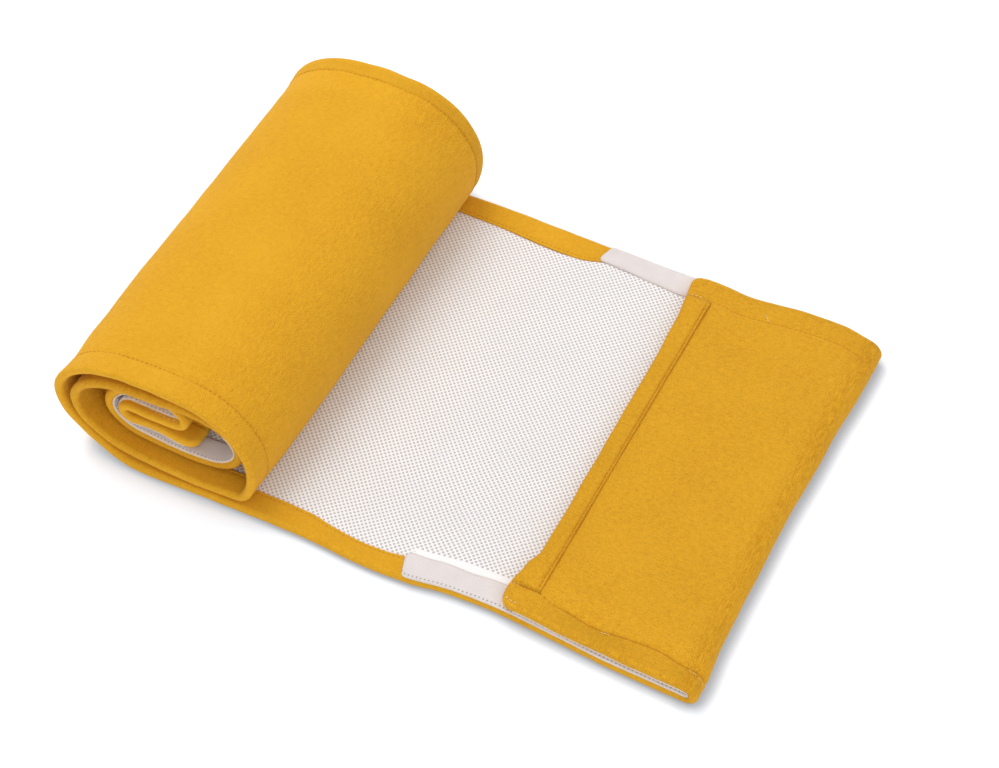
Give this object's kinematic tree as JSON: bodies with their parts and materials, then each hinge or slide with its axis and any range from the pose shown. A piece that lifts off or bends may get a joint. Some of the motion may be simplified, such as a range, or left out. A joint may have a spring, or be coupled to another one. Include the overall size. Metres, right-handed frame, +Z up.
{
  "type": "crib bumper",
  "caption": "Long low padded strip for the inside of a crib: muslin on one face, spacer mesh on the other, half of it rolled up and its other end folded over as a flap.",
  "frame": {"origin": "middle of the whole thing seen from above, on the surface that it lies on", "axes": "+X along the strip, from the roll to the folded flap; +Y across the strip, from the near long edge to the far one; +Z up"},
  "size_m": [0.4263, 0.3006, 0.0902],
  "materials": {
    "muslin": "soft crinkled cotton muslin, mustard yellow, matt",
    "spacer_mesh": "white knitted spacer mesh with small staggered round holes, matt",
    "loop_tape": "short brushed loop pile, pinkish white, matt",
    "end_binding": "cotton muslin folded double and stitched, mustard yellow, matt"
  },
  "bodies": {
    "root": {"muslin_panel": "muslin", "mesh_panel": "spacer_mesh", "loop_tape_near_outer": "loop_tape", "loop_tape_far_outer": "loop_tape", "loop_tape_near_inner": "loop_tape", "loop_tape_far_inner": "loop_tape", "end_band_outer": "end_binding", "end_band_inner": "end_binding"}
  },
  "joints": []
}
